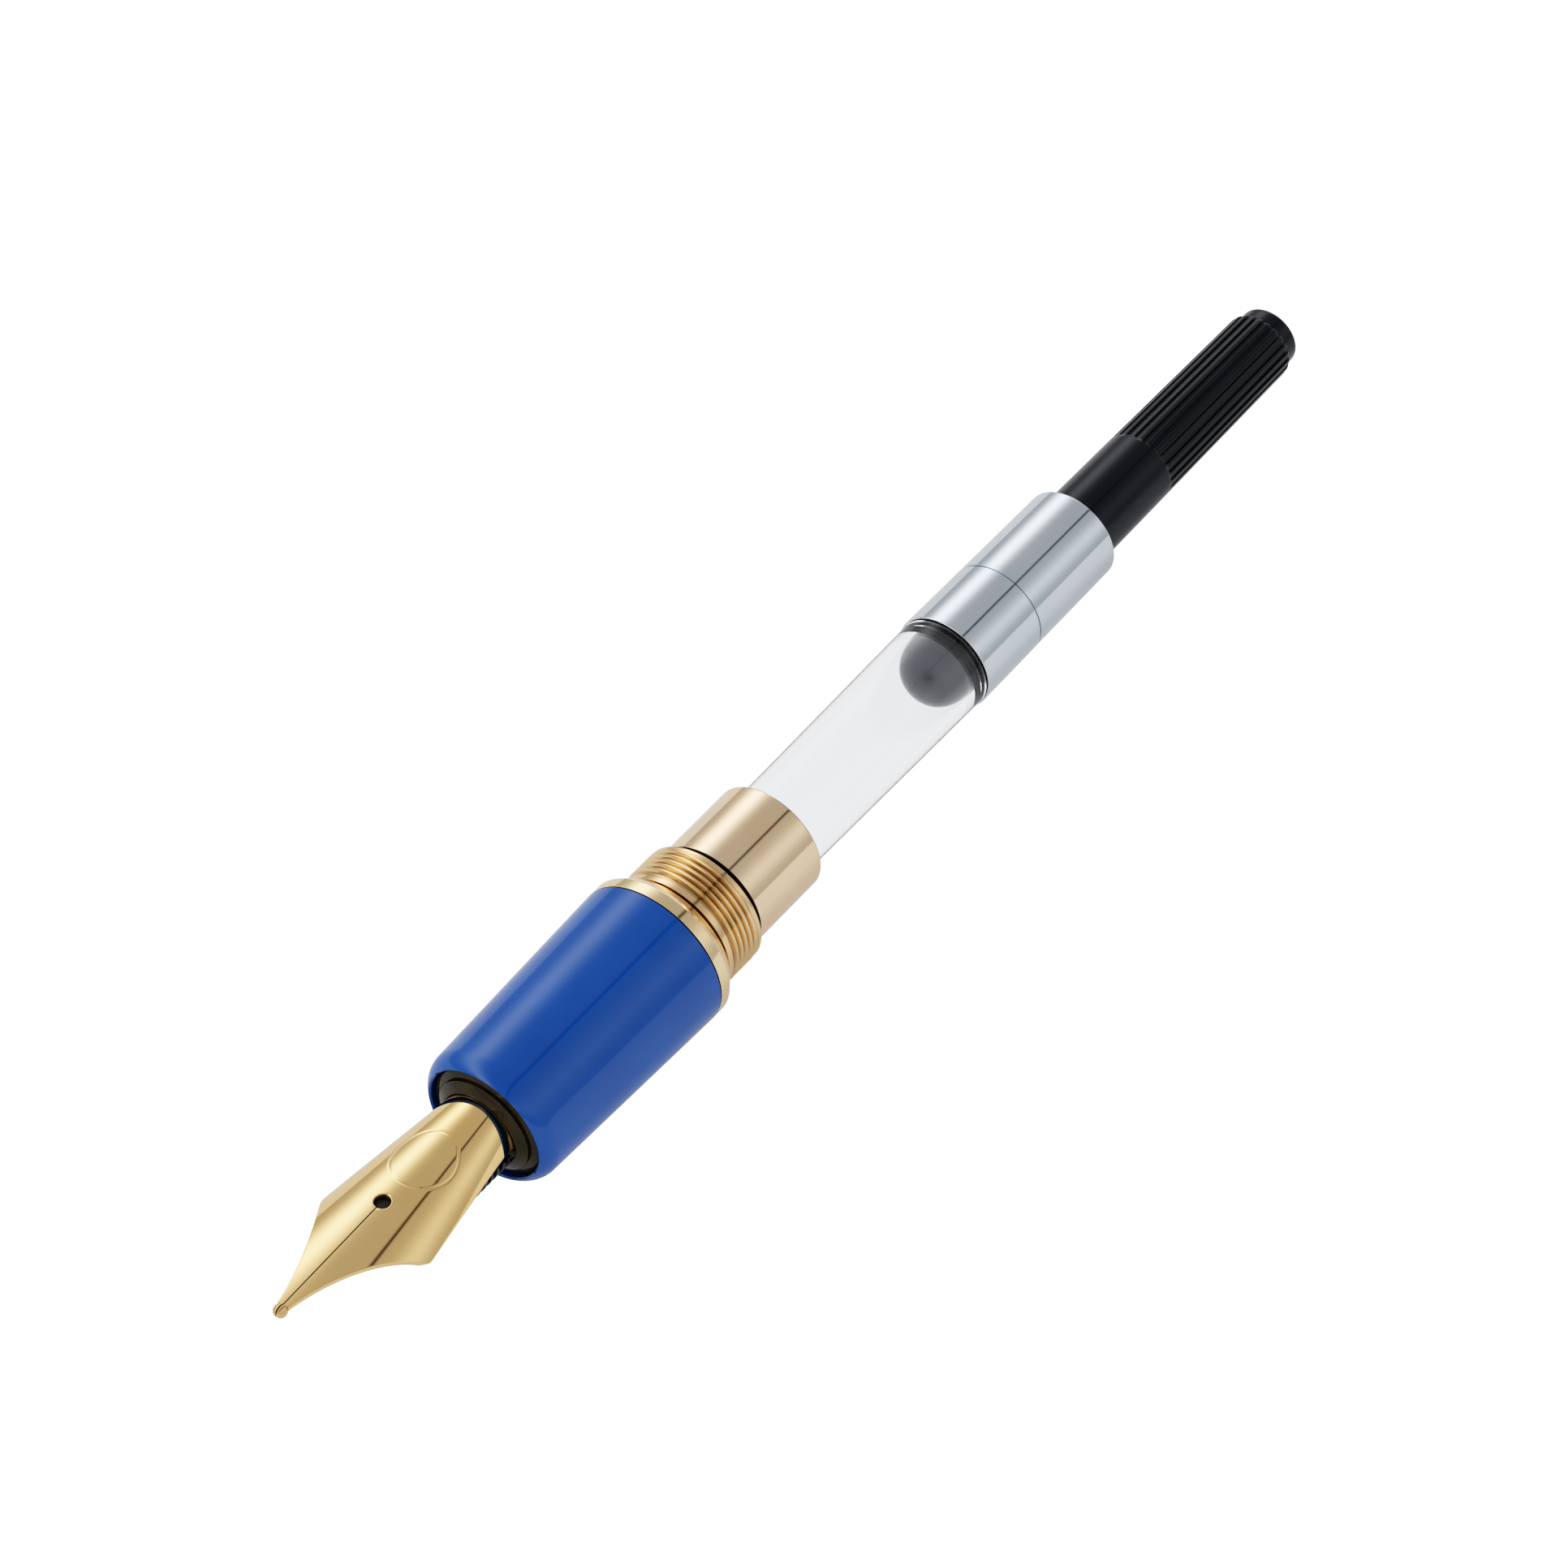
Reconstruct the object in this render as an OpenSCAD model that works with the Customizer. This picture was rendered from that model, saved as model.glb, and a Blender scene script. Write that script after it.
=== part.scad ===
// Front section of a fountain pen with its screw converter pushed in.
// The pen's axis lies along X. The nib points to -X and its crown faces +Z,
// and the converter's knob is at +X. The origin is on the axis, in the middle
// of the barrel thread.

/* [Nib] */
// Width across the shoulders
nib_w = 8.76; // [8.4:0.02:8.9]
// Distance from the housing's nose to the shoulders
nib_shoulder = 10.8; // [10.4:0.1:11.2]
// Distance from the housing's nose to the end of the sheet
nib_point = 19.9; // [19.5:0.1:20.5]
// Length of the heel held inside the housing
nib_heel = 12.4; // [11.5:0.1:12.6]
// Outer radius of the round base
nib_base_r = 2.88; // [2.84:0.01:2.92]
// How far the crown falls from the base to the shoulders
crown_fall = 0.4; // [0.35:0.01:0.45]
// Height of the shoulders' edge above the axis
shoulder_z = 0.25; // [0.2:0.01:0.3]
// Thickness of the sheet
nib_sheet = 0.38; // [0.34:0.01:0.4]
// Width of the slit
slit_w = 0.08; // [0.06:0.01:0.12]
// Diameter of the vent hole
vent_d = 1.15; // [0.9:0.05:1.3]
// Diameter of the tipping ball
ball_d = 1; // [0.9:0.05:1.1]

/* [Grip section] */
// Length from the lip to the trim ring
grip_len = 18.06; // [17.9:0.02:18.5]
// Outer radius at the lip end
grip_front_r = 5.31; // [5.25:0.01:5.4]
// Outer radius at the trim ring
grip_rear_r = 5.82; // [5.8:0.01:5.9]
// Rounding of the lip
lip_round = 1.7; // [1.3:0.1:1.8]
// Outer radius of the nib housing's flange
flange_r = 4.42; // [4.3:0.01:4.5]
// Outer radius of the step on the nib housing's nose
nose_r = 3.78; // [3.7:0.01:3.9]
// How far the nose stands out of the flange
nose_len = 0.8; // [0.7:0.05:0.9]

/* [Barrel thread] */
// Radius of the thread's crests
thread_r = 4.87; // [4.82:0.01:4.9]
// Distance from one crest to the next
pitch = 0.5; // [0.45:0.01:0.5]
// Number of turns
turns = 5; // [4:1:5]
// Outer radius of the trim ring
ring_r = 5.8; // [5.7:0.01:5.82]
// Width of the trim ring's plain band
ring_w = 0.94; // [0.8:0.02:1]
// Outer radius of the converter socket's sleeve
sleeve_r = 4.32; // [4.3:0.01:4.4]
// How far the sleeve stands out of the thread
sleeve_out = 7.43; // [7:0.01:7.5]

/* [Converter] */
// Length from the mouth to the front of the ferrule
tube_len = 32.9; // [32.5:0.1:33.5]
// Outer radius of the tube where it leaves the socket
tube_front_r = 3.45; // [3.4:0.01:3.5]
// Outer radius of the tube at the ferrule
tube_rear_r = 3.69; // [3.65:0.01:3.7]
// Radius of the tube's bore
bore_r = 2.85; // [2.83:0.01:2.88]
// Outer radius of the ferrule's front edge
ferrule_front_r = 3.82; // [3.8:0.01:3.9]
// Outer radius of the ferrule's rear edge
ferrule_rear_r = 3.69; // [3.68:0.01:3.75]
// Length of the ferrule in front of its seam
ferrule_front_len = 6.3; // [6:0.1:6.5]
// Length of the ferrule behind its seam
ferrule_rear_len = 9.2; // [9:0.1:9.5]

/* [Piston and knob] */
// Radius of the piston's round nose
dome_r = 2.78; // [2.7:0.01:2.8]
// Length of the piston's round nose
dome_len = 2.15; // [2:0.05:2.3]
// Radius of the screw rod
rod_r = 1.25; // [1.2:0.01:1.27]
// Distance across the rod's two flats
rod_flats = 1.9; // [1.8:0.05:2]
// Radius of the knob where it leaves the ferrule
knob_front_r = 2.89; // [2.86:0.01:2.92]
// Radius of the knob at the end of its ribs
knob_rear_r = 2.7; // [2.64:0.01:2.74]
// Length of the knob's smooth collar
knob_smooth = 8.3; // [8:0.1:8.5]
// Length of the knob's ribs
knob_ribbed = 15.6; // [15.4:0.1:15.8]
// Number of ribs
rib_count = 24; // [20:1:28]
// Radius of the knob's end plug
plug_r = 2.38; // [2.3:0.01:2.4]
// Length of the end plug that shows
plug_len = 1.38; // [1.2:0.02:1.5]

/* [Hidden] */
$fn = 96;
fit = 0.02;
run = 0.05;
eps = 0.01;

// Stations along the axis, from the middle of the thread outwards
x_thread0 = -turns * pitch / 2;
x_thread1 = turns * pitch / 2;
x_rim = x_thread1 + 0.2;
x_land1 = x_thread0 - 0.37;
x_land0 = x_land1 - 0.45;
x_ring1 = x_land0 - 0.48;
x_bevel = x_ring1 - 0.87;
x_grip1 = x_bevel - ring_w;
x_lip = x_grip1 - grip_len;
x_flange = x_lip + 0.4;
x_nose = x_flange - nose_len;
x_sleeve1 = x_rim + sleeve_out;
x_mouth = x_bevel - 0.4;
x_ferrule0 = x_mouth + tube_len;
x_seam = x_ferrule0 + ferrule_front_len;
x_ferrule1 = x_seam + ferrule_rear_len;
x_ribs0 = x_ferrule1 + knob_smooth;
x_ribs1 = x_ribs0 + knob_ribbed;
x_end = x_ribs1 + plug_len;

// Nib: distances d run forward from the nose
tip_half = 0.45;
tip_flare = 0.193;
corner_soft = 0.12;
corner_half = nib_w / 2 + corner_soft * ln(2);
point_len = nib_point - nib_shoulder;
point_curve = (corner_half - tip_half - tip_flare * point_len) / pow(point_len, 2);
shoulder_rise = nib_base_r - crown_fall - shoulder_z;
shoulder_arc_r = (pow(nib_w / 2, 2) + pow(shoulder_rise, 2)) / (2 * shoulder_rise);
vent_d_nose = nib_shoulder - 0.9;
ball_x = x_nose - nib_point - 0.3;
ball_z = 1.8;

// Feed
feed_top_r = nib_base_r - nib_sheet - 0.08;
feed_low_r = nib_base_r - 0.02;
fin_r = 2.95;
fin_t = 0.3;
fin_pitch = 0.6;
fin_count = 13;
comb_r = 2.3;
comb_len = 8.2;
beak_len = 16.8;
beak_tip_z = 1.3;
beak_tip_half = 0.4;
beak_neck_half = 0.85;

// Grip section
housing_bore_r = nib_base_r + run;
rim_r = nib_base_r + 0.15;
x_step0 = x_nose + 0.4;
x_step1 = x_step0 + 0.15;
housing_body_r = 3.6;
x_housing1 = x_lip + 15;
x_nipple1 = x_mouth + 3.6;
nipple_r = 1.2;
liner_r = 4.6;
x_flange1 = x_flange + 0.8;
x_liner0 = x_flange1 + fit;
x_tail0 = x_grip1 - 3.66;
tail_r = 4.32;
neck_r = 4.45;
ring_in_r = neck_r + fit;
ring_edge_r = 5.2;
seat_in_r = thread_r + 0.04;
seat_recess = 0.15;
thread_root_r = thread_r - 0.3;
land_r = thread_r - 0.09;
crest_flat = 0.08;
socket_r = 4.07;
sleeve_in_r = 3.72;
x_socket = x_land0 + 0.15;

// Converter
tube_neck_r = 3.2;
spigot_r = 3.15;
x_neck1 = x_mouth + 4.6;
x_spigot = x_ferrule0 - 0.05;
x_spigot1 = x_ferrule0 + 4.1;
x_core0 = x_ferrule0 + 0.4;
x_core1 = x_ferrule0 + 10.5;
core_in_r = 2.2;
x_guide0 = x_ferrule0 + 5.5;
guide_len = 2.5;
ferrule_in_r = 3.52;
ferrule_taper = (ferrule_front_r - ferrule_rear_r) / (ferrule_front_len + ferrule_rear_len);
seam_r = ferrule_front_r - ferrule_taper * ferrule_front_len;

// Piston, drawn fully back
x_dome = x_ferrule0 - 1.25;
x_seal0 = x_dome + 0.15;
head_neck_r = 2;
head_flange_r = 2.6;
seal_r = bore_r - fit;
seal_len = 2.6;
x_rod1 = x_ribs1 - 2.9;
rod_stub_r = 1;

// Knob
x_journal = x_core1 + 0.2;
journal_len = 1.2;
journal_r = 3.38;
nut_r = 2.08;
nut_len = 3.8;
knob_bore_r = 1.62;
rib_depth = 0.2;
rib_gap = 0.33;

// A solid turned about the pen's axis; each point is [radius, station along X]
module turned(points)
{
    rotate([0, 90, 0])
        rotate_extrude()
            polygon(points);
}

// A plain round bar about the axis, from station x0 to x1
module bar(r, x0, x1)
{
    translate([x0, 0, 0])
        rotate([0, 90, 0])
            cylinder(r = r, h = x1 - x0);
}

// Everything below height z, from station x0 to x1
module below(z, x0, x1)
{
    translate([x0, -6, z - 12])
        cube([x1 - x0, 12, 12]);
}

// Points of an arc in the turning plane, centred at radius cr and station cx
function arc(cr, cx, r, a0, a1, n = 10) =
    [for (i = [0 : n]) let (a = a0 + (a1 - a0) * i / n) [cr + r * cos(a), cx + r * sin(a)]];

// The crown's height and the cross-section's arc radius, d in front of the nose
function crown_z(d) = nib_base_r - crown_fall * d / nib_shoulder;
function arc_r(d) = nib_base_r + (shoulder_arc_r - nib_base_r) * d / nib_shoulder;

// Half the nib's width: straight sides and a hollow-sided point, blended at the shoulders
function side_half(d) = nib_base_r + (corner_half - nib_base_r) * d / nib_shoulder;
function point_half(t) = tip_half + tip_flare * t + point_curve * t * t;
function soft_min(a, b) = -corner_soft * ln(exp(-a / corner_soft) + exp(-b / corner_soft));
function nib_half(d) = d < 0 ? nib_base_r : soft_min(side_half(d), point_half(nib_point - d));

// The cone that the nib is rolled on, from the nose forward, taken in by inset
module flare(inset)
{
    d1 = nib_point + 2;
    hull()
    {
        translate([x_nose, 0, 0])
            rotate([0, 90, 0])
                cylinder(r = nib_base_r - inset, h = eps, $fn = 64);
        translate([x_nose - d1, 0, crown_z(d1) - arc_r(d1)])
            rotate([0, 90, 0])
                cylinder(r = arc_r(d1) - inset, h = eps, $fn = 64);
    }
}

// The nib's outline seen from above
module nib_plan()
{
    steps = 48;
    length = nib_heel + nib_point;
    edge = [for (i = [0 : steps]) let (d = -nib_heel + length * i / steps) [x_nose - d, nib_half(d)]];
    polygon(concat(edge, [for (i = [steps : -1 : 0]) [edge[i][0], -edge[i][1]]]));
}

module tipping_ball()
{
    translate([ball_x, 0, ball_z])
        sphere(d = ball_d);
}

module nib()
{
    color("gold")
        difference()
        {
            intersection()
            {
                union()
                {
                    flare(0);
                    bar(nib_base_r, x_nose, x_nose + nib_heel);
                }
                linear_extrude(4)
                    nib_plan();
            }
            flare(nib_sheet);
            bar(nib_base_r - nib_sheet, x_nose - eps, x_nose + nib_heel + 1);
            translate([x_nose - vent_d_nose, 0, 0])
                cylinder(d = vent_d, h = 4);
            translate([x_nose - nib_point - 1, -slit_w / 2, 0])
                cube([nib_point + 1 - vent_d_nose, slit_w, 4]);
            tipping_ball();
        }
}

module nib_tipping()
{
    color("silver")
        difference()
        {
            tipping_ball();
            translate([ball_x - ball_d, -slit_w / 2, ball_z - ball_d / 4])
                cube([2 * ball_d, slit_w, ball_d]);
        }
}

// The feed's tongue under the nib: a side outline and a plan outline in the nib's hollow
module feed_beak()
{
    x_front = x_nose - beak_len;
    x_comb = x_nose - comb_len;
    x_neck = x_front + 2;
    top = 4;
    intersection()
    {
        flare(nib_sheet + 0.06);
        rotate([90, 0, 0])
            linear_extrude(6, center = true)
                polygon([[x_nose, -comb_r], [x_comb, -comb_r], [x_comb - 1.5, 0.7 - comb_r],
                         [x_comb - 4, 2.1 - comb_r], [x_front, beak_tip_z], [x_front, top],
                         [x_nose, top]]);
        translate([0, 0, -top])
            linear_extrude(2 * top)
                polygon([[x_nose, comb_r], [x_comb, comb_r], [x_neck, beak_neck_half],
                         [x_front, beak_tip_half], [x_front, -beak_tip_half],
                         [x_neck, -beak_neck_half], [x_comb, -comb_r], [x_nose, -comb_r]]);
        bar(comb_r, x_front, x_nose);
    }
}

module feed()
{
    x_rear = x_nose + nib_heel + 0.2;
    color("#1c1c1e")
        union()
        {
            bar(feed_top_r, x_nose, x_rear);
            intersection()
            {
                bar(feed_low_r, x_nose + 0.3, x_rear);
                below(-0.06, x_nose, x_rear);
            }
            intersection()
            {
                for (i = [0 : fin_count - 1])
                    let (x = x_nose - 0.4 - i * fin_pitch)
                        bar(fin_r, x - fin_t, x);
                below(-0.15, x_nose - comb_len, x_nose);
            }
            feed_beak();
        }
}

module nib_housing()
{
    wall = 2.5;
    color("#18181a")
        turned([[housing_bore_r, x_nose], [rim_r, x_nose], [nose_r, x_step0], [nose_r, x_step1],
                [flange_r - 0.1, x_flange], [flange_r, x_flange + 0.1],
                [flange_r, x_flange1], [housing_body_r, x_flange1],
                [housing_body_r, x_housing1 - 1], [2.2, x_housing1],
                [nipple_r, x_housing1], [nipple_r, x_nipple1 - 0.4], [nipple_r - 0.2, x_nipple1],
                [0.6, x_nipple1], [0.6, x_housing1 - wall + 0.8],
                [housing_bore_r, x_housing1 - wall + 0.8]]);
}

module grip_shell()
{
    mouth_r = flange_r + run;
    crest_r = mouth_r + 0.13;
    lip_cr = grip_front_r - lip_round;
    crest_a = acos((crest_r - lip_cr) / lip_round);
    lip_cx = x_lip + lip_round * sin(crest_a);
    color("royalblue")
        turned(concat([[liner_r + fit, x_liner0], [mouth_r, x_liner0], [mouth_r, x_lip + 0.15]],
                      arc(lip_cr, lip_cx, lip_round, -crest_a, 0),
                      [[grip_rear_r, x_grip1], [liner_r + fit, x_grip1]]));
}

module grip_liner()
{
    thread_bore_r = housing_body_r + fit;
    x_step = x_tail0 - 0.1;
    color("goldenrod")
        turned([[thread_bore_r, x_liner0 + fit], [liner_r, x_liner0 + fit], [liner_r, x_grip1 - run],
                [tail_r + fit, x_grip1 - run], [tail_r + fit, x_step], [thread_bore_r, x_step]]);
}

module trim_ring()
{
    edge = 0.12;
    color("gold")
        turned([[ring_in_r, x_grip1 + fit], [ring_r - edge, x_grip1 + fit], [ring_r, x_grip1 + edge],
                [ring_r, x_bevel], [ring_edge_r, x_ring1], [seat_in_r, x_ring1],
                [seat_in_r, x_ring1 - seat_recess], [ring_in_r, x_ring1 - seat_recess]]);
}

// One turn's crest and the root after it
function thread_turn(x) =
    let (flank = (pitch - crest_flat) / 2)
        [[thread_root_r, x], [thread_r, x + flank], [thread_r, x + flank + crest_flat],
         [thread_root_r, x + pitch - eps]];

module thread_bushing()
{
    bore = housing_body_r + fit;
    crests = [for (i = [0 : turns - 1]) each thread_turn(x_thread0 + i * pitch)];
    color("gold")
        turned(concat([[bore, x_tail0], [tail_r, x_tail0], [tail_r, x_grip1], [neck_r, x_grip1],
                       [neck_r, x_land0 - 0.1], [land_r, x_land0], [land_r, x_land1],
                       [thread_root_r + 0.05, x_land1 + 0.12]],
                      crests,
                      [[thread_r - 0.05, x_thread1 + 0.05], [thread_r - 0.05, x_rim - 0.05],
                       [thread_r - 0.12, x_rim], [socket_r + fit, x_rim],
                       [socket_r + fit, x_socket], [bore, x_socket]]));
}

module socket_sleeve()
{
    edge = 0.15;
    root = 0.5;
    color("gold")
        turned([[sleeve_in_r, x_socket + fit], [socket_r, x_socket + fit], [socket_r, x_rim + fit],
                [sleeve_r - 0.12, x_rim + fit], [sleeve_r - 0.12, x_rim + root],
                [sleeve_r, x_rim + root + 0.1], [sleeve_r, x_sleeve1 - edge],
                [sleeve_r - edge, x_sleeve1], [sleeve_in_r, x_sleeve1]]);
}

module reservoir()
{
    slope = (tube_rear_r - tube_front_r) / (x_spigot - x_sleeve1);
    neck_out_r = tube_front_r - slope * (x_sleeve1 - x_neck1);
    hole_r = 0.8;
    color("lavender", 0.4)
        turned([[nipple_r + fit, x_mouth], [tube_neck_r - 0.2, x_mouth], [tube_neck_r, x_mouth + 0.3],
                [tube_neck_r, x_neck1 - 0.3], [neck_out_r, x_neck1], [tube_rear_r, x_spigot - 0.1],
                [tube_rear_r - 0.08, x_spigot], [spigot_r, x_spigot], [spigot_r, x_spigot1],
                [bore_r, x_spigot1], [bore_r, x_neck1 + 0.8], [hole_r, x_neck1],
                [hole_r, x_mouth + 3.8], [nipple_r + fit, x_mouth + 3.8]]);
}

module ferrule_front()
{
    lip = 0.08;
    color("silver")
        turned([[ferrule_in_r, x_ferrule0], [ferrule_front_r - lip, x_ferrule0],
                [ferrule_front_r, x_ferrule0 + lip], [seam_r + 0.02, x_seam - 0.06],
                [seam_r - 0.02, x_seam - fit], [ferrule_in_r, x_seam - fit]]);
}

module ferrule_rear()
{
    lip = 0.15;
    x_lip_in = x_journal + journal_len + 0.2;
    in_r = ferrule_in_r - 0.07;
    color("silver")
        turned([[in_r, x_seam + fit], [seam_r - 0.04, x_seam + fit], [seam_r, x_seam + 0.06],
                [ferrule_rear_r, x_ferrule1 - lip], [ferrule_rear_r - lip, x_ferrule1],
                [knob_front_r + 0.07, x_ferrule1], [knob_front_r + 0.07, x_lip_in],
                [in_r, x_lip_in]]);
}

module ferrule_core()
{
    front_r = ferrule_in_r - fit;
    rear_r = front_r - 0.07;
    socket = spigot_r + fit;
    x_stop = x_spigot1 + 0.2;
    color("dimgray")
        turned([[socket, x_core0], [front_r, x_core0], [front_r, x_seam - run], [rear_r, x_seam - run],
                [rear_r, x_core1], [core_in_r, x_core1], [core_in_r, x_stop], [socket, x_stop]]);
}

// A round bar with two flats, the rod's section and the shape of the guide's key hole
module keyed_bar(r, flats, x0, x1)
{
    intersection()
    {
        bar(r, x0, x1);
        translate([x0, -flats / 2, -r])
            cube([x1 - x0, flats, 2 * r]);
    }
}

module rod_guide()
{
    color("white")
        difference()
        {
            bar(core_in_r - fit, x_guide0, x_guide0 + guide_len);
            keyed_bar(rod_r + run, rod_flats + 2 * run, x_guide0 - 1, x_guide0 + guide_len + 1);
        }
}

module piston_head()
{
    x_back = x_seal0 + seal_len + 0.1;
    flange = 0.4;
    steps = 12;
    nose = [for (i = [0 : steps])
               let (a = 90 * i / steps)
                   [dome_r * sin(a), x_dome - dome_len * cos(a)]];
    color("dimgray")
        turned(concat(nose,
                      [[dome_r, x_seal0], [head_neck_r, x_seal0], [head_neck_r, x_back],
                       [head_flange_r, x_back], [head_flange_r, x_back + flange],
                       [rod_stub_r + fit, x_back + flange], [rod_stub_r + fit, x_seal0 + 1],
                       [0, x_seal0 + 1]]));
}

module piston_seal()
{
    lip = 0.75;
    in_r = head_neck_r + fit;
    x1 = x_seal0 + seal_len;
    color("black")
        turned([[in_r, x_seal0 + fit], [seal_r - 0.15, x_seal0 + fit], [seal_r, x_seal0 + 0.15],
                [seal_r, x_seal0 + lip - 0.1], [seal_r - 0.1, x_seal0 + lip],
                [seal_r - 0.35, x_seal0 + lip + 0.1], [seal_r - 0.35, x1 - lip - 0.1],
                [seal_r - 0.1, x1 - lip], [seal_r, x1 - lip + 0.1], [seal_r, x1 - 0.1],
                [seal_r - 0.1, x1], [in_r, x1]]);
}

module piston_rod()
{
    x_back = x_seal0 + seal_len + 0.5 + run;
    x_threads = x_back + 3;
    groove = 0.9;
    count = floor((x_rod1 - x_threads) / groove);
    grooves = [for (i = [0 : count - 1])
                  let (x = x_threads + i * groove)
                      each [[rod_r, x], [rod_r - 0.15, x + 0.25], [rod_r - 0.15, x + 0.45],
                            [rod_r, x + 0.7]]];
    color("whitesmoke")
        union()
        {
            bar(rod_stub_r, x_seal0 + 1.05, x_back + eps);
            intersection()
            {
                turned(concat([[0, x_back], [rod_r, x_back]], grooves, [[rod_r, x_rod1], [0, x_rod1]]));
                keyed_bar(rod_r + 1, rod_flats, x_back, x_rod1);
            }
        }
}

module drive_nut()
{
    bore = rod_r + run;
    x0 = x_journal + fit;
    x1 = x_journal + nut_len;
    color("white")
        turned([[bore, x0], [nut_r, x0], [nut_r, x1], [bore, x1]]);
}

module knob()
{
    x_collar = x_journal + journal_len;
    x_bore = x_journal + nut_len + fit;
    chamfer = 0.3;
    color("#141416")
        difference()
        {
            turned([[nut_r + fit, x_journal], [journal_r, x_journal], [journal_r, x_collar],
                    [knob_front_r, x_collar], [knob_front_r, x_ferrule1], [knob_rear_r, x_ribs1 - chamfer],
                    [plug_r + 0.1, x_ribs1], [knob_bore_r, x_ribs1], [knob_bore_r, x_bore],
                    [nut_r + fit, x_bore]]);
            for (i = [0 : rib_count - 1])
                rotate([i * 360 / rib_count, 0, 0])
                    translate([x_ribs0, -rib_gap / 2, knob_rear_r - rib_depth])
                        cube([knob_ribbed + 1, rib_gap, 1]);
        }
}

module knob_end_plug()
{
    edge = 0.6;
    spigot = 2.4;
    color("#141416")
        turned(concat([[0, x_ribs1 - spigot], [knob_bore_r - fit, x_ribs1 - spigot],
                       [knob_bore_r - fit, x_ribs1 + fit], [plug_r, x_ribs1 + fit]],
                      arc(plug_r - edge, x_end - edge, edge, 0, 90),
                      [[0, x_end]]));
}

nib();
nib_tipping();
feed();
nib_housing();
grip_shell();
grip_liner();
trim_ring();
thread_bushing();
socket_sleeve();
reservoir();
ferrule_front();
ferrule_rear();
ferrule_core();
rod_guide();
piston_head();
piston_seal();
piston_rod();
drive_nut();
knob();
knob_end_plug();
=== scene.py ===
"""Looks of a fountain pen's front section with its screw converter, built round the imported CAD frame.

Lengths in this file are millimetres along the pen's axis (X) and out from it; they become metres when
a mesh is made. Stations come from the boxes of the CAD nodes.
"""
import math

import bmesh
import bpy
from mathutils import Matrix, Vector


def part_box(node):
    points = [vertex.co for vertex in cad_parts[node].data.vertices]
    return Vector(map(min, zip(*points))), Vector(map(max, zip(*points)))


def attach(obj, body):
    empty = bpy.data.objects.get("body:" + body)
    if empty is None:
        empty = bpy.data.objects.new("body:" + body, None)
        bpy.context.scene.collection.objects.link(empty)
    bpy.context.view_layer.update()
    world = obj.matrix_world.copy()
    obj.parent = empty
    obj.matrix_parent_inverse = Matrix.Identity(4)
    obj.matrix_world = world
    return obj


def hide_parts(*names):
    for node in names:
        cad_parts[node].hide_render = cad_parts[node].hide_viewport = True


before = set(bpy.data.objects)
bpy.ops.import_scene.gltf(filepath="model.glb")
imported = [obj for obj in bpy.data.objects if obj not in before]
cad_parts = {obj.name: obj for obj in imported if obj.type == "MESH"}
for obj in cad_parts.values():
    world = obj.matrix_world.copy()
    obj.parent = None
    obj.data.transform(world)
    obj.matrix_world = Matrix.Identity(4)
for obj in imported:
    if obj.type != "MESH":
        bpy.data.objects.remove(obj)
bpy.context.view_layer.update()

MM = 0.001
SEGMENTS = 192


# ---------------------------------------------------------------- measures from the frame

def low(node):
    """The node's lowest corner, in mm."""
    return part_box(node)[0] / MM


def high(node):
    """The node's highest corner, in mm."""
    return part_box(node)[1] / MM


x_nose = low("nib_housing").x
x_nipple1 = high("nib_housing").x
flange_r = high("nib_housing").z
x_lip = low("grip_shell").x
x_grip1 = high("grip_shell").x
grip_rear_r = high("grip_shell").z
x_ring1 = high("trim_ring").x
ring_r = high("trim_ring").z
x_tail0 = low("thread_bushing").x
x_rim = high("thread_bushing").x
thread_r = high("thread_bushing").z
x_socket = low("socket_sleeve").x
x_sleeve1 = high("socket_sleeve").x
sleeve_r = high("socket_sleeve").z
x_mouth = low("reservoir").x
x_spigot1 = high("reservoir").x
tube_rear_r = high("reservoir").z
x_ferrule0 = low("ferrule_front").x
x_seam = high("ferrule_front").x
ferrule_front_r = high("ferrule_front").z
x_seam_rear = low("ferrule_rear").x
x_ferrule1 = high("ferrule_rear").x
x_journal = low("knob").x
x_ribs1 = high("knob").x
journal_r = high("knob").z
x_end = high("knob_end_plug").x
plug_r = high("knob_end_plug").z
x_dome_tip = low("piston_head").x
x_head1 = high("piston_head").x
x_seal0 = low("piston_seal").x
x_seal1 = high("piston_seal").x
seal_r = high("piston_seal").z
dome_r = high("piston_head").z
x_rod0 = low("piston_rod").x
x_rod1 = high("piston_rod").x
rod_half_flats = high("piston_rod").y

# The play between parts, and the sleeve's measures that its box doesn't give.
FIT = 0.02
SOCKET_BORE_R = 3.72
SOCKET_OUT_R = 4.07
SLEEVE_ROOT = 0.5
SLEEVE_ROOT_DEPTH = 0.12
SLEEVE_EDGE = 0.16


# ---------------------------------------------------------------- mesh helpers

def finish_piece(name, verts, faces, material, body, replaced, sharp=35):
    mesh = bpy.data.meshes.new(name)
    mesh.from_pydata([(x * MM, y * MM, z * MM) for x, y, z in verts], [], faces)
    mesh.validate()
    mesh.update()
    piece = bpy.data.objects.new(name, mesh)
    bpy.context.scene.collection.objects.link(piece)
    bm = bmesh.new()
    bm.from_mesh(mesh)
    bmesh.ops.remove_doubles(bm, verts=bm.verts, dist=1e-7)
    bmesh.ops.dissolve_degenerate(bm, edges=bm.edges, dist=1e-8)
    bmesh.ops.recalc_face_normals(bm, faces=bm.faces)
    bm.to_mesh(mesh)
    bm.free()
    mesh.shade_smooth()
    mesh.set_sharp_from_angle(angle=math.radians(sharp))
    weighted = piece.modifiers.new("even_normals", "WEIGHTED_NORMAL")
    weighted.keep_sharp = True
    mesh.materials.append(material)
    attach(piece, body)
    for node in replaced:
        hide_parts(node)
    return piece


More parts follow.
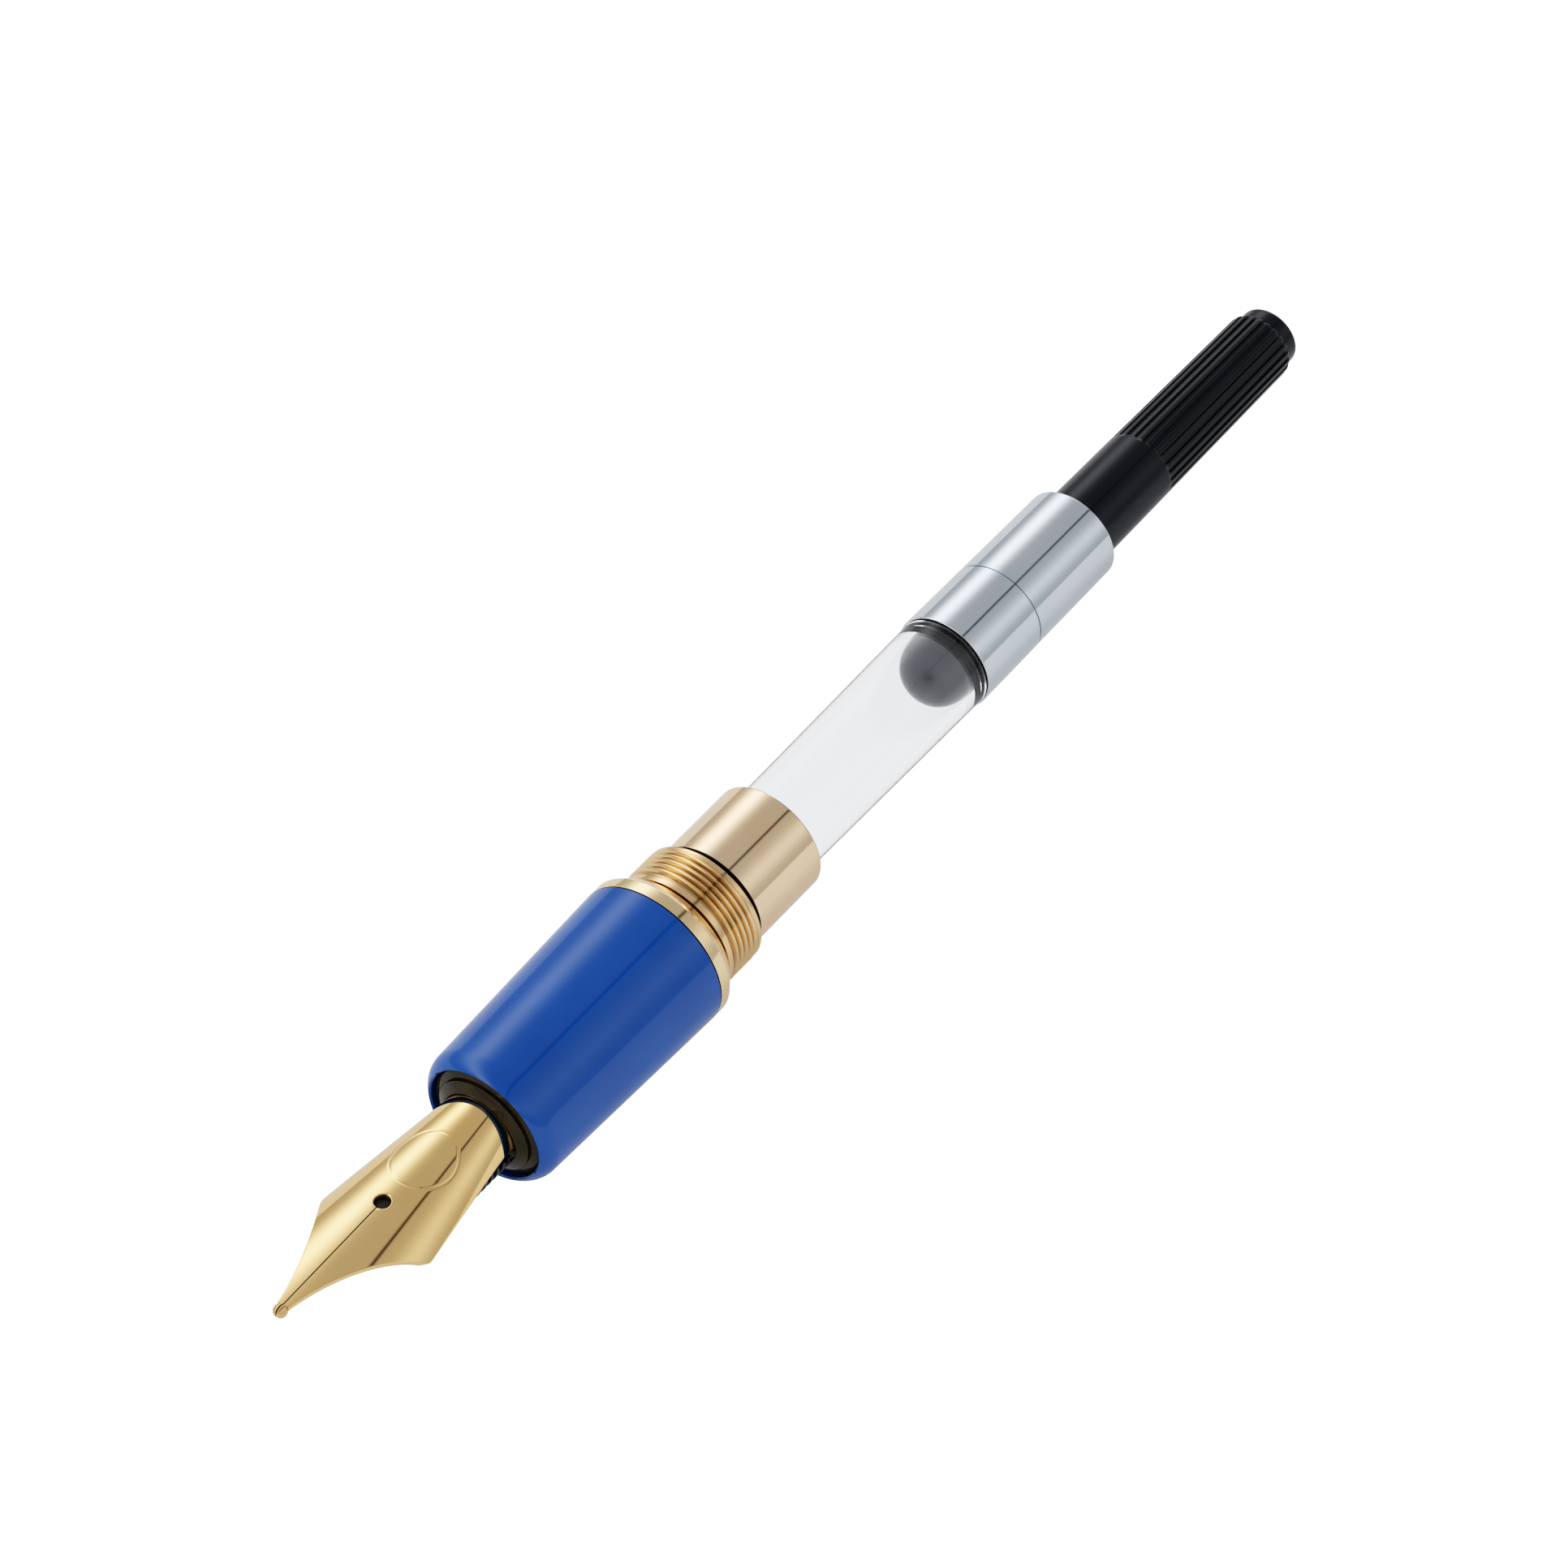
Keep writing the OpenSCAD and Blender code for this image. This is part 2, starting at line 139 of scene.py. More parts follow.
def rounded(points, steps=5):
    """The closed outline's points [(x, r, fillet)], with each corner turned into an arc of its fillet."""
    outline = []
    count = len(points)
    for i, (x, r, fillet) in enumerate(points):
        corner = Vector((x, r))
        if fillet <= 0:
            outline.append(corner)
            continue
        back = Vector(points[i - 1][:2]) - corner
        ahead = Vector(points[(i + 1) % count][:2]) - corner
        half = back.angle(ahead) / 2
        reach = min(fillet / math.tan(half), 0.49 * back.length, 0.49 * ahead.length)
        radius = reach * math.tan(half)
        start = corner + back.normalized() * reach
        end = corner + ahead.normalized() * reach
        middle = (back.normalized() + ahead.normalized()).normalized()
        centre = corner + middle * math.hypot(reach, radius)
        for k in range(steps + 1):
            spoke = (start - centre).lerp(end - centre, k / steps)
            outline.append(centre + spoke.normalized() * radius)
    return outline


def turned(outline, segments=SEGMENTS):
    """Vertices and faces of a closed outline [(x, r)] turned about the axis. r = 0 makes a pole."""
    verts, rings = [], []
    for x, r in outline:
        if r < 1e-6:
            rings.append([len(verts)] * segments)
            verts.append((x, 0, 0))
            continue
        rings.append(list(range(len(verts), len(verts) + segments)))
        verts += [(x, r * math.sin(math.tau * j / segments), r * math.cos(math.tau * j / segments))
                  for j in range(segments)]
    return verts, bridge(rings, closed=True)


def bridge(rings, closed=False, wrap=True):
    """Quads between rings of vertex numbers, triangles at a pole. closed joins the last ring to the first."""
    faces = []
    last = len(rings) if closed else len(rings) - 1
    for i in range(last):
        a, b = rings[i], rings[(i + 1) % len(rings)]
        for j in range(len(a) if wrap else len(a) - 1):
            k = (j + 1) % len(a)
            face = []
            for v in (a[j], a[k], b[k], b[j]):
                if v not in face:
                    face.append(v)
            if len(face) > 2:
                faces.append(face)
    return faces


def lathe(name, points, material, body, steps=5):
    """A round piece turned from its closed outline [(x, r, fillet)], in place of the node of its name."""
    verts, faces = turned(rounded(points, steps))
    finish_piece(name, verts, faces, material, body, [name])


def evenly(start, end, count):
    """Points that split the way from start to end into count equal steps, without the end."""
    return [start + (end - start) * i / count for i in range(count)]


# ---------------------------------------------------------------- materials

NOISE_LOW, NOISE_HIGH = 0.3, 0.7
GRAIN_SHARE = 0.5
CLOUD_SHARE = (0.15, 0.35)


def new_material(name, colour, roughness, metallic=0.0, **sockets):
    """A Principled material, with its node tree and shader."""
    material = bpy.data.materials.new(name)
    material.use_nodes = True
    shader = material.node_tree.nodes["Principled BSDF"]
    shader.inputs["Base Color"].default_value = (*colour, 1)
    shader.inputs["Roughness"].default_value = roughness
    shader.inputs["Metallic"].default_value = metallic
    for socket, value in sockets.items():
        shader.inputs[socket.replace("_", " ")].default_value = value
    return material


def add_node(tree, kind, **settings):
    """A new node with its settings."""
    node = tree.nodes.new(kind)
    for key, value in settings.items():
        setattr(node, key, value)
    return node


def object_noise(tree, scale, stretch=(1, 1, 1), detail=3.0, seed=(0, 0, 0)):
    """Noise in the object's own coordinates; scale is features per metre."""
    coords = add_node(tree, "ShaderNodeTexCoord")
    mapping = add_node(tree, "ShaderNodeMapping")
    mapping.inputs["Scale"].default_value = stretch
    mapping.inputs["Location"].default_value = seed
    noise = add_node(tree, "ShaderNodeTexNoise")
    noise.inputs["Scale"].default_value = scale
    noise.inputs["Detail"].default_value = detail
    tree.links.new(coords.outputs["Object"], mapping.inputs["Vector"])
    tree.links.new(mapping.outputs["Vector"], noise.inputs["Vector"])
    return noise.outputs["Fac"]


def spread(tree, factor, low_value, high_value):
    """The noise's usual range spread over a range of values."""
    ramp = add_node(tree, "ShaderNodeMapRange")
    ramp.inputs["From Min"].default_value = NOISE_LOW
    ramp.inputs["From Max"].default_value = NOISE_HIGH
    ramp.inputs["To Min"].default_value = low_value
    ramp.inputs["To Max"].default_value = high_value
    tree.links.new(factor, ramp.inputs["Value"])
    return ramp.outputs["Result"]


def vary_colour(tree, factor, colour_a, colour_b):
    """A mix of two colours by the factor."""
    mix = add_node(tree, "ShaderNodeMix", data_type="RGBA")
    mix.inputs["A"].default_value = (*colour_a, 1)
    mix.inputs["B"].default_value = (*colour_b, 1)
    tree.links.new(factor, mix.inputs["Factor"])
    return mix.outputs["Result"]


def dress(material, colour_a, colour_b, rough, cloud_scale, grain, grain_stretch, grain_depth):
    """Adds cloudy colour and roughness at cloud_scale, and a fine bump of grain features per metre.

    The roughness follows the clouds and the grain together, over the range rough.
    """
    tree = material.node_tree
    shader = tree.nodes["Principled BSDF"]
    cloud = object_noise(tree, cloud_scale, detail=4.0)
    fine = object_noise(tree, grain, grain_stretch, detail=2.0, seed=(0.3, 0.7, 0.1))
    tree.links.new(vary_colour(tree, spread(tree, cloud, 0, 1), colour_a, colour_b),
                   shader.inputs["Base Color"])
    both = add_node(tree, "ShaderNodeMath", operation="MULTIPLY_ADD")
    both.inputs[1].default_value = GRAIN_SHARE
    tree.links.new(fine, both.inputs[0])
    tree.links.new(spread(tree, cloud, *CLOUD_SHARE), both.inputs[2])
    tree.links.new(spread(tree, both.outputs[0], *rough), shader.inputs["Roughness"])
    bump = add_node(tree, "ShaderNodeBump")
    bump.inputs["Distance"].default_value = grain_depth
    tree.links.new(fine, bump.inputs["Height"])
    tree.links.new(bump.outputs["Normal"], shader.inputs["Normal"])
    return material


def tint_by_distance(material, weights, near, far, colour):
    """Tints the colour where the weighted distance from the origin is under near, fading out by far.

    With near over far it is the other way round: the tint is on what lies beyond near.
    """
    tree = material.node_tree
    shader = tree.nodes["Principled BSDF"]
    coords = add_node(tree, "ShaderNodeTexCoord")
    flat = add_node(tree, "ShaderNodeVectorMath", operation="MULTIPLY")
    flat.inputs[1].default_value = weights
    distance = add_node(tree, "ShaderNodeVectorMath", operation="LENGTH")
    ramp = add_node(tree, "ShaderNodeMapRange", interpolation_type="SMOOTHSTEP")
    ramp.inputs["From Min"].default_value = near * MM
    ramp.inputs["From Max"].default_value = far * MM
    ramp.inputs["To Min"].default_value = 1
    ramp.inputs["To Max"].default_value = 0
    tree.links.new(coords.outputs["Object"], flat.inputs[0])
    tree.links.new(flat.outputs["Vector"], distance.inputs[0])
    tree.links.new(distance.outputs["Value"], ramp.inputs["Value"])
    shade = add_node(tree, "ShaderNodeMix", data_type="RGBA", blend_type="MULTIPLY")
    tree.links.new(ramp.outputs["Result"], shade.inputs["Factor"])
    tree.links.new(shader.inputs["Base Color"].links[0].from_socket, shade.inputs["A"])
    shade.inputs["B"].default_value = (*colour, 1)
    tree.links.new(shade.outputs["Result"], shader.inputs["Base Color"])
    return material


ALL_WAYS = (1, 1, 1)
ALONG_AXIS = (1, 0, 0)
ROUND_AXIS = (0, 1, 1)
# Painted shade on the bushing: its gold darkens below THREAD_BRIGHT_R and is brown-black by THREAD_DARK_R, in
# the thread's roots and on the neck.
THREAD_DARK_R, THREAD_BRIGHT_R = 4.45, 4.78
# Where the tints below start and stop: the sleeve's root and mouth, where they paint shade, and the housing's
# cone and flange, where the housing's painted reflection ends.
root_dark = x_rim + SLEEVE_ROOT + 0.08
root_bright = root_dark + 0.06
edge_slope = math.sqrt(sleeve_r / x_sleeve1)
edge_in = SLEEVE_EDGE * (1 - math.sqrt(0.5))
edge_reach = math.hypot(edge_slope * (x_sleeve1 - edge_in), sleeve_r - edge_in)
edge_dark = edge_reach - 0.005
edge_bright = edge_reach - 0.025
cone_bright_r = flange_r - 0.25
flange_dark_r = flange_r - 0.1

nib_gold = dress(new_material("nib_gold", (0.95, 0.64, 0.30), 0.08, 1.0),
                 (0.94, 0.625, 0.28), (0.96, 0.66, 0.325), (0.02, 0.06), 260, 2600, (1, 0.25, 0.25), 2e-7)
# Painted shade: a near-black material for the slit's side walls, where the narrow gap lies in shade.
slit_shade = dress(new_material("slit_shade", (0.02, 0.015, 0.01), 0.4, 0.0),
                 (0.015, 0.011, 0.008), (0.03, 0.022, 0.014), (0.35, 0.5), 900, 6000, ALL_WAYS, 1e-6)
tipping_alloy = dress(new_material("tipping_alloy", (0.74, 0.50, 0.24), 0.15, 1.0),
                      (0.68, 0.45, 0.20), (0.80, 0.56, 0.28), (0.06, 0.12), 900, 9000, ALL_WAYS, 3e-7)
trim_gold = dress(new_material("trim_gold", (0.93, 0.70, 0.42), 0.08, 1.0),
                  (0.91, 0.68, 0.39), (0.95, 0.73, 0.45), (0.05, 0.12), 300, 5200, (1, 0.08, 0.08), 3e-7)
# Painted shade: darker towards the axis, in the thread's roots and on the neck between the ring and the land.
thread_gold = tint_by_distance(
    dress(new_material("thread_gold", (0.87, 0.61, 0.345), 0.12, 1.0),
          (0.83, 0.57, 0.305), (0.91, 0.66, 0.395), (0.07, 0.14), 300, 5200, (1, 0.08, 0.08), 3e-7),
    ROUND_AXIS, THREAD_DARK_R, THREAD_BRIGHT_R, (0.25, 0.16, 0.075))
# Painted shade at its root, and a painted dark line of shade beyond an ellipsoid that meets the rounded edge
# of its mouth at 45 degrees.
sleeve_gold = tint_by_distance(tint_by_distance(
    dress(new_material("sleeve_gold", (0.92, 0.69, 0.455), 0.12, 1.0),
          (0.91, 0.67, 0.44), (0.94, 0.71, 0.475), (0.04, 0.09), 240, 9000, (1, 0.04, 0.04), 3e-7),
    ALONG_AXIS, root_dark, root_bright, (0.03, 0.025, 0.02)),
    (edge_slope, 1, 1), edge_dark, edge_bright, (0.05, 0.04, 0.03))
liner_brass = dress(new_material("liner_brass", (0.72, 0.56, 0.30), 0.3, 1.0),
                    (0.66, 0.50, 0.25), (0.76, 0.60, 0.34), (0.25, 0.38), 300, 6000, (1, 0.05, 0.05), 1e-6)
ferrule_chrome = dress(new_material("ferrule_chrome", (0.65, 0.70, 0.745), 0.07, 1.0),
                       (0.63, 0.685, 0.73), (0.67, 0.715, 0.76), (0.04, 0.10), 220, 3500, (0.4, 1, 1), 2e-7)
grip_blue = dress(new_material("grip_blue", (0.002, 0.096, 0.43), 0.3, 0.0, Specular_IOR_Level=0.0,
                               Coat_Weight=1.0, Coat_Roughness=0.09, Coat_IOR=1.6),
                  (0.001, 0.088, 0.41), (0.004, 0.104, 0.45), (0.28, 0.36), 180, 1400, ALL_WAYS, 6e-7)
# Painted reflection: the glossy black housing's base colour is brown, a painted reflection of the nib's gold
# on its cones; towards the flange's rim a tint takes it back to near black.
housing_black = tint_by_distance(
    dress(new_material("housing_black", (0.040, 0.027, 0.006), 0.05, 0.0, IOR=1.4),
          (0.030, 0.020, 0.004), (0.052, 0.036, 0.009), (0.04, 0.08), 700, 2500, ALL_WAYS, 3e-7),
    ROUND_AXIS, flange_dark_r, cone_bright_r, (0.06, 0.08, 0.25))
feed_black = dress(new_material("feed_black", (0.010, 0.010, 0.012), 0.3),
                   (0.008, 0.008, 0.010), (0.016, 0.016, 0.018), (0.24, 0.40), 500, 6000, ALL_WAYS, 2e-6)
knob_black = dress(new_material("knob_black", (0.003, 0.0045, 0.009), 0.3, 0.0, IOR=1.45),
                   (0.002, 0.0035, 0.008), (0.004, 0.0055, 0.011), (0.17, 0.27), 300, 7000, (0.5, 1, 1), 2e-6)
dome_grey = dress(new_material("dome_grey", (0.090, 0.094, 0.105), 0.2),
                  (0.080, 0.084, 0.094), (0.100, 0.104, 0.116), (0.16, 0.24), 400, 9000, ALL_WAYS, 1e-7)
seal_black = dress(new_material("seal_black", (0.008, 0.009, 0.012), 0.35),
                   (0.006, 0.007, 0.009), (0.012, 0.013, 0.017), (0.3, 0.45), 600, 5000, ALL_WAYS, 2e-6)
rod_white = dress(new_material("rod_white", (0.78, 0.78, 0.76), 0.35),
                  (0.74, 0.74, 0.72), (0.82, 0.82, 0.80), (0.3, 0.42), 400, 5000, ALL_WAYS, 2e-6)
guide_white = dress(new_material("guide_white", (0.75, 0.75, 0.72), 0.4),
                    (0.71, 0.71, 0.68), (0.79, 0.79, 0.76), (0.35, 0.48), 400, 5000, ALL_WAYS, 2e-6)
core_grey = dress(new_material("core_grey", (0.20, 0.20, 0.21), 0.4),
                  (0.17, 0.17, 0.18), (0.23, 0.23, 0.24), (0.35, 0.48), 400, 5000, ALL_WAYS, 2e-6)
tube_clear = dress(new_material("tube_clear", (0.95, 0.965, 1.0), 0.02, 0.0, Transmission_Weight=1.0,
                                IOR=1.43),
                   (0.945, 0.96, 0.995), (0.955, 0.97, 1.0), (0.01, 0.03), 150, 900, (0.3, 1, 1), 6e-7)


# ---------------------------------------------------------------- nib

SHEET = 0.38
NIB_BASE_R = 2.88
CROWN_FALL = 0.4
SHOULDER_Z = 0.25
SHOULDER = 10.8
x_point = low("nib").x
x_heel = high("nib").x
nib_half_w = high("nib").y
nib_point = x_nose - x_point
heel = x_heel - x_nose
VENT_R = 0.575
VENT_ROUND = 0.07
SLIT_HALF = 0.04
TIP_HALF = 0.45
TIP_FLARE = 0.193
CORNER_SOFT = 0.12
vent_d = SHOULDER - 0.9
corner_half = nib_half_w + CORNER_SOFT * math.log(2)
point_len = nib_point - SHOULDER
point_curve = (corner_half - TIP_HALF - TIP_FLARE * point_len) / point_len ** 2
shoulder_rise = NIB_BASE_R - CROWN_FALL - SHOULDER_Z
shoulder_arc_r = (nib_half_w ** 2 + shoulder_rise ** 2) / (2 * shoulder_rise)
OVAL_D = 5.65
OVAL_LONG = 2.4
OVAL_WIDE = 2.15
OVAL_LINE = 0.06
OVAL_DEPTH = 0.03
EDGE_LEAN = 0.4


def crown_z(d):
    """Height of the nib's top on the centre line, d in front of the nose."""
    return NIB_BASE_R - CROWN_FALL * max(d, 0) / SHOULDER


def arc_r(d):
    """Radius of the sheet's curve across the nib."""
    return NIB_BASE_R + (shoulder_arc_r - NIB_BASE_R) * max(d, 0) / SHOULDER


def nib_half(d):
    """Half the nib's width, d in front of the nose: straight sides and a hollow point, softly joined."""
    if d < 0:
        return NIB_BASE_R
    side = NIB_BASE_R + (corner_half - NIB_BASE_R) * d / SHOULDER
    t = nib_point - d
    point = TIP_HALF + TIP_FLARE * t + point_curve * t * t
    return -CORNER_SOFT * math.log(math.exp(-side / CORNER_SOFT) + math.exp(-point / CORNER_SOFT))


def oval_groove(d, y):
    """Depth of the engraved oval line behind the vent."""
    u = (d - OVAL_D) / OVAL_LONG
    v = y / OVAL_WIDE
    reach = math.hypot(u, v)
    if reach < 0.5:  # well inside the oval
        return 0
    off = (reach - 1) * min(OVAL_LONG, OVAL_WIDE)
    return OVAL_DEPTH * math.exp(-(off / OVAL_LINE) ** 2)


def nib_stations():
    """Distances in front of the nose, close together where the outline or the engraving needs it."""
    oval0, oval1 = OVAL_D - OVAL_LONG - 0.3, OVAL_D + OVAL_LONG + 0.25
    rear, front = vent_d - VENT_R, vent_d + math.sqrt(VENT_R ** 2 - SLIT_HALF ** 2)
    back = evenly(-heel, 0, 12)
    base = evenly(0, oval0, 12)
    oval = evenly(oval0, oval1, 110)
    gap = evenly(oval1, rear, 14)
    vent = [vent_d - VENT_R * math.cos(a) for a in evenly(0, math.acos((vent_d - front) / VENT_R), 36)]
    point = evenly(front, nib_point, 90)
    return back + base + oval + gap + vent + point + [nib_point]


def inner_half(d):
    """Half the opening on the centre line: none, the vent's circle, or the slit."""
    if d <= vent_d - VENT_R:
        return 0
    if d < vent_d + VENT_R:
        return max(SLIT_HALF if d > vent_d else 0, math.sqrt(max(VENT_R ** 2 - (d - vent_d) ** 2, 0)))
    return SLIT_HALF


def vent_round(d, y):
    """Depth of the rounding on the vent's rim."""
    off = VENT_ROUND - (math.hypot(d - vent_d, y) - VENT_R)
    if off <= 0:
        return 0
    return VENT_ROUND - math.sqrt(max(VENT_ROUND ** 2 - min(off, VENT_ROUND) ** 2, 0))


def rounded_corner(start, corner, end, steps):
    """Points of a smooth curve from start to end that turns at the corner, without its first point."""
    points = []
    for i in range(1, steps + 1):
        t = i / steps
        points.append(tuple((1 - t) ** 2 * a + 2 * t * (1 - t) * b + t * t * c
                            for a, b, c in zip(start, corner, end)))
    return points


def nib_section(d, columns, rim):
    """Half the nib's cross-section at d, as (y, z): top from the centre line out, cut edge, and back."""
    top_r = arc_r(d)
    under_r = top_r - SHEET
    centre = crown_z(d) - top_r
    half = nib_half(d)
    rim_r = 0.1

    def place(r, angle):
        return r * math.sin(angle), centre + r * math.cos(angle)

    a0 = math.asin(min(inner_half(d) / top_r, 1))
    a1 = math.asin(min(half / top_r, 1))
    b0 = math.asin(min(inner_half(d) / under_r, 1))
    b1 = min(math.asin(min(half / under_r, 1)), math.acos(min(max(-centre / under_r, -1), 1)))
    b1 = a1 + EDGE_LEAN * (b1 - a1)
    top, under = [], []
    for i in range(columns + 1):
        share = (i / columns) ** 1.4
        a = a0 + (a1 - rim_r / top_r - a0) * share
        y = top_r * math.sin(a)
        top.append(place(top_r - oval_groove(d, y) - vent_round(d, y), a))
        under.append(place(under_r, b0 + (b1 - rim_r / under_r - b0) * share))
    outer, inner = place(top_r, a1), place(under_r, b1)
    down = Vector(inner) - Vector(outer)
    reach = down.normalized() * rim_r
    below = tuple(Vector(outer) + reach)
    above = tuple(Vector(inner) - reach)
    edge = rounded_corner(top[-1], outer, below, rim) + [above]
    edge += rounded_corner(above, inner, under[-1], rim)[:-1]
    return top + edge + under[::-1]


def make_nib():
    """Two mirrored halves of one rolled sheet, joined on the centre line behind the vent."""
    columns, rim = 84, 6
    sideways, slit_wall = 0.9, SLIT_HALF * 1.1
    stations = nib_stations()
    verts, faces = [], []
    for side in (1, -1):
        loops = []
        for d in stations:
            section = nib_section(d, columns, rim)
            loops.append(list(range(len(verts), len(verts) + len(section))))
            verts += [(x_nose - d, side * y, z) for y, z in section]
        for i in range(len(stations) - 1):
            a, b = loops[i], loops[i + 1]
            count = len(a)
            for j in range(count):
                k = (j + 1) % count
                if k == 0 and inner_half(stations[i]) == 0 and inner_half(stations[i + 1]) == 0:
                    continue
                faces.append((a[j], a[k], b[k], b[j]))
        for loop in (loops[0], loops[-1]):
            for j in range(len(loop) // 2 - 1):
                faces.append((loop[j], loop[j + 1], loop[-2 - j], loop[-1 - j]))
    nib = finish_piece("nib", verts, faces, nib_gold, "section", ["nib"], sharp=50)
    # Painted shade: the slit's side walls in front of the vent take the near-black second material.
    nib.data.materials.append(slit_shade)
    for face in nib.data.polygons:
        along, across = face.center.x / MM, abs(face.center.y) / MM
        if abs(face.normal.y) > sideways and across < slit_wall and along < x_nose - vent_d:
            face.material_index = 1


def make_tipping():
    """Two lobes of a ball, each turned about the Y axis, with the slit between them."""
    lo, hi = low("nib_tipping"), high("nib_tipping")
    centre = (lo + hi) / 2
    r = (hi.x - lo.x) / 2
    edge, face_in = 0.06, 0.036
    steps, around = 20, 48
    start = math.asin((SLIT_HALF + edge) / r)
    face_r = r * math.cos(start) - face_in
    outline = [(0, SLIT_HALF), (face_r, SLIT_HALF)]
    outline += [(face_r + face_in * math.sin(a), SLIT_HALF + edge * (1 - math.cos(a)))
                for a in evenly(0, math.pi / 2, 4)[1:]]
    outline += [(r * math.cos(a), r * math.sin(a)) for a in evenly(start, math.pi / 2, steps)]
    outline.append((0, r))
    verts, faces = [], []
    for side in (1, -1):
        rings = []
        for radius, y in outline:
            if radius < 1e-6:
                rings.append([len(verts)] * around)
                verts.append((centre.x, side * y, centre.z))
                continue
            rings.append(list(range(len(verts), len(verts) + around)))
            verts += [(centre.x + radius * math.cos(math.tau * j / around), side * y,
                       centre.z + radius * math.sin(math.tau * j / around)) for j in range(around)]
        faces += bridge(rings)
    finish_piece("nib_tipping", verts, faces, tipping_alloy, "section", ["nib_tipping"])


# ---------------------------------------------------------------- feed

def nib_under(d, y):
    """Height of the nib's underside."""
    inner = arc_r(d) - SHEET
    return crown_z(d) - arc_r(d) + math.sqrt(max(inner ** 2 - y ** 2, 0))


def blend_between(points, d):
    """Straight-line interpolation through points [(d, value)]."""
    for (d0, v0), (d1, v1) in zip(points, points[1:]):
        if d <= d1:
            return v0 + (v1 - v0) * max(d - d0, 0) / (d1 - d0)
    return points[-1][1]


def make_feed():
    """A comb of fins under the nib's base, running out into a smooth beak; a round body in the housing."""
    fin_r, comb_r, body_r, tail_r = 2.93, 2.3, 2.42, 2.84
    fin_count, fin_pitch, fin_t, fin0 = 13, 0.6, 0.3, 0.4
    comb_len, beak_len = 8.2, 16.8
    half, bevel, gap = 30, 0.03, 0.08
    level = -0.15
    d_tail, d_comb = -heel - 0.2, -0.3
    stations = [(d_tail, body_r, body_r), (d_tail + 0.1, tail_r, body_r), (d_comb - bevel, tail_r, body_r),
                (d_comb, comb_r, body_r)]
    for i in range(fin_count):
        d = fin0 + i * fin_pitch
        stations += [(d, comb_r, comb_r), (d + bevel, fin_r - bevel, comb_r), (d + 2 * bevel, fin_r, comb_r),
                     (d + fin_t - 2 * bevel, fin_r, comb_r), (d + fin_t - bevel, fin_r - bevel, comb_r),
                     (d + fin_t, comb_r, comb_r)]
    width = [(comb_len, comb_r), (comb_len + 1.5, 2.05), (beak_len - 2, 0.85), (beak_len, 0.4)]
    middle = [(comb_len, 0), (comb_len + 4, 0.5), (beak_len, 1.7)]
    bottom = [(comb_len, -comb_r), (comb_len + 1.5, -1.6), (comb_len + 4, -0.2), (beak_len, 1.3)]
    verts, rings = [], []
    beak = evenly(comb_len + 0.2, beak_len, 30) + [beak_len]
    for d, low_r, top_r in stations + [(d, None, None) for d in beak]:
        if low_r is None:
            w = blend_between(width, d)
            mid = blend_between(middle, d)
            depth, wide, rise = mid - blend_between(bottom, d), w, comb_r
        else:
            mid, depth, wide, w, rise = level, low_r + level, low_r, top_r, top_r - level
        ring = []
        for i in range(half + 1):
            a = math.pi * i / half
            ring.append((x_nose - d, wide * math.cos(a), mid - depth * math.sin(a)))
        for i in range(half + 1):
            a = math.pi * i / half
            y = -w * math.cos(a)
            z = mid + rise * math.sin(a)
            if d > 0:
                z = min(z, nib_under(d, y) - gap)
            ring.append((x_nose - d, y, max(z, mid)))
        rings.append(list(range(len(verts), len(verts) + len(ring))))
        verts += ring
    faces = bridge(rings)
    faces += [list(reversed(rings[0])), list(rings[-1])]
    finish_piece("feed", verts, faces, feed_black, "section", ["feed"])


# ---------------------------------------------------------------- grip section

HOUSING_BORE_R = NIB_BASE_R + 0.05
HOUSING_BODY_R = 3.6
RIM_R = NIB_BASE_R + 0.15
NOSE_R = 3.78
NOSE_LEN = 0.8
NIPPLE_R = 1.2
LINER_R = 4.6
GRIP_FRONT_R = 5.31
LIP_ROUND = 1.7
x_flange = x_nose + NOSE_LEN
x_flange1 = x_flange + 0.8
x_housing1 = x_lip + 15
NECK_R = 4.45
RING_EDGE_R = 5.2
SEAT_IN_R = thread_r + 0.04
SEAT_RECESS = 0.15
TAIL_R = 4.32
x_bevel = x_ring1 - 0.87
x_land0 = x_ring1 + 0.48
x_land1 = x_land0 + 0.45
PITCH = 0.5
TURNS = 5
THREAD_DEPTH = 0.3


def make_housing():
    """The black cones and flange round the nib's base, its body in the liner, and the nipple."""
    wall = x_housing1 - 1.7
    feed_bore_r = 0.6
    x_step0 = x_nose + 0.4
    x_step1 = x_step0 + 0.18
    groove_r = NOSE_R - 0.2
    lathe("nib_housing", [
        (x_nose, HOUSING_BORE_R, 0.03), (x_nose, RIM_R, 0.06), (x_step0, NOSE_R, 0.04),
        (x_step0 + 0.05, groove_r, 0), (x_step1, groove_r, 0), (x_step1, NOSE_R + 0.05, 0.03),
        (x_flange, flange_r - 0.08, 0.12), (x_flange + 0.1, flange_r, 0.1),
        (x_flange1, flange_r, 0.05), (x_flange1, HOUSING_BODY_R, 0),
        (x_housing1 - 1, HOUSING_BODY_R, 0.1), (x_housing1, 2.2, 0.1), (x_housing1, NIPPLE_R, 0.1),
        (x_nipple1, NIPPLE_R, 0.25), (x_nipple1, feed_bore_r, 0.05), (wall, feed_bore_r, 0),
        (wall, HOUSING_BORE_R, 0)],
        housing_black, "section")


